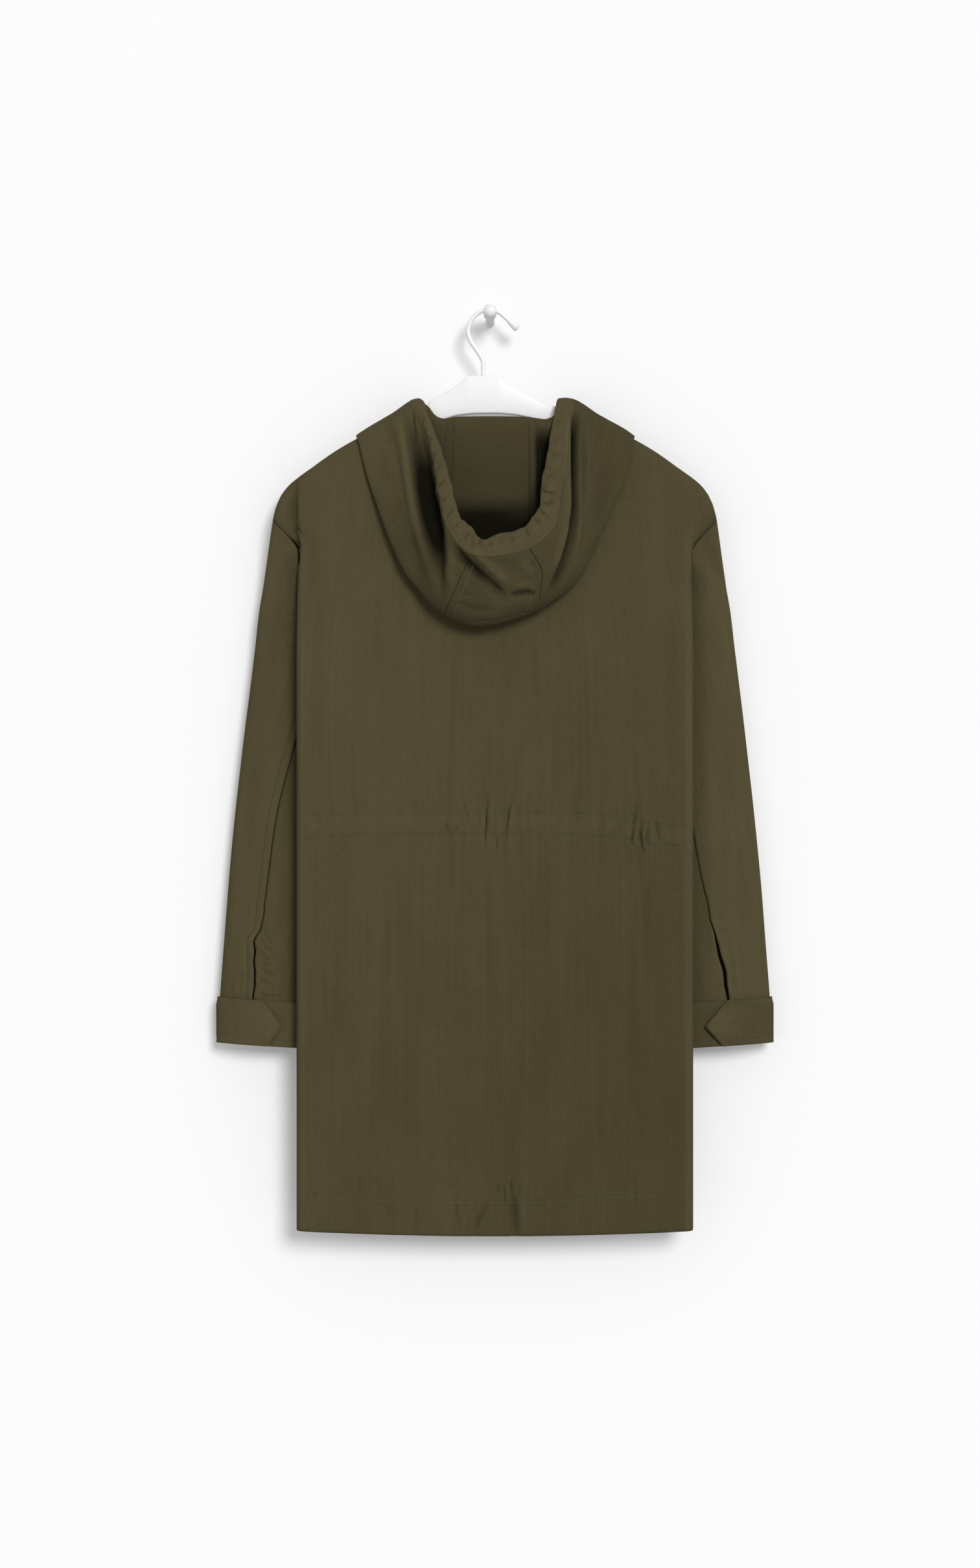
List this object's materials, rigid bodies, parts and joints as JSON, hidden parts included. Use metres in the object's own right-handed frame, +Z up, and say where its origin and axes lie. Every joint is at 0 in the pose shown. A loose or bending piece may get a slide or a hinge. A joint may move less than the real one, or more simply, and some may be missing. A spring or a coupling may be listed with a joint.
{
  "type": "hooded parka on a clothes hanger",
  "caption": "Long olive hooded parka hanging from a white clothes hanger on a wall peg, hood laid down the back, waist drawn in by a casing, cuffs with pointed tabs.",
  "frame": {"origin": "middle of the peg's flat end face, which lies against the wall", "axes": "+Z up, +Y into the wall, +X to the right of someone who faces the wall, which is the wearer's right"},
  "size_m": [0.6069, 0.1033, 1.0047],
  "materials": {
    "shell_cloth": "washed olive cotton twill, matt with a faint sheen",
    "hanger_plastic": "moulded white plastic, satin",
    "hook_coating": "white coated wire",
    "peg_paint": "turned wood, brushed white paint"
  },
  "bodies": {
    "root": {"back": "shell_cloth", "front_left": "shell_cloth", "front_right": "shell_cloth", "front_placket": "shell_cloth", "sleeve_left": "shell_cloth", "sleeve_right": "shell_cloth", "cuff_left": "shell_cloth", "cuff_right": "shell_cloth", "hood_left": "shell_cloth", "hood_right": "shell_cloth", "hood_centre": "shell_cloth", "hood_casing": "shell_cloth", "hanger_body": "hanger_plastic", "hanger_hook": "hook_coating", "wall_peg": "peg_paint"}
  },
  "joints": []
}
